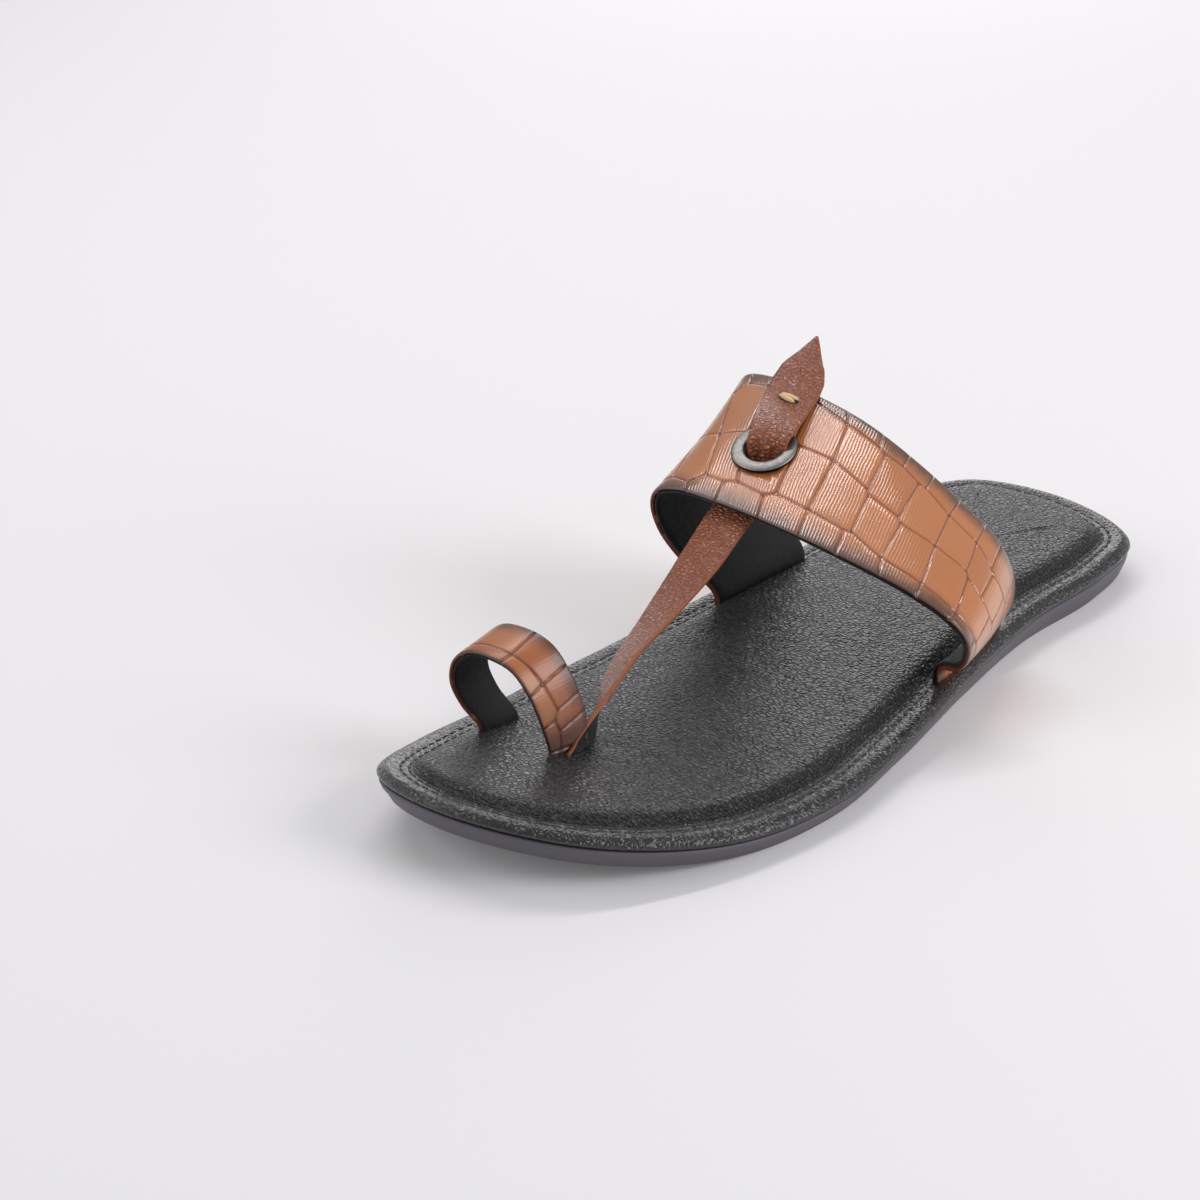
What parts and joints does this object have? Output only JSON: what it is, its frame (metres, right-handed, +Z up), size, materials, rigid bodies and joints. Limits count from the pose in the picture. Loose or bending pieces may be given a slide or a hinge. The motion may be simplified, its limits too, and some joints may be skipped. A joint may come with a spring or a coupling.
{
  "type": "kolhapuri sandal",
  "caption": "Left flat kolhapuri slip-on sandal with a broad instep band, a big-toe loop and a thong threaded through a metal eyelet.",
  "frame": {"origin": "on the outsole's flat underside, half way along the sole", "axes": "+Z up, -Y towards the toe, +Y towards the heel, -X towards the big toe side, +X towards the little toe side"},
  "size_m": [0.1081, 0.28, 0.0801],
  "materials": {
    "outsole_rubber": "matte dark grey moulded rubber",
    "footbed_leather": "smooth black leather with a soft sheen",
    "insole_leather": "fine grained black leather",
    "upper_leather": "polished tan leather with an embossed reptile pattern",
    "eyelet_metal": "antique silver metal"
  },
  "bodies": {
    "root": {"outsole": "outsole_rubber", "footbed": "footbed_leather", "insole": "insole_leather", "upper": "upper_leather", "eyelet": "eyelet_metal"}
  },
  "joints": []
}
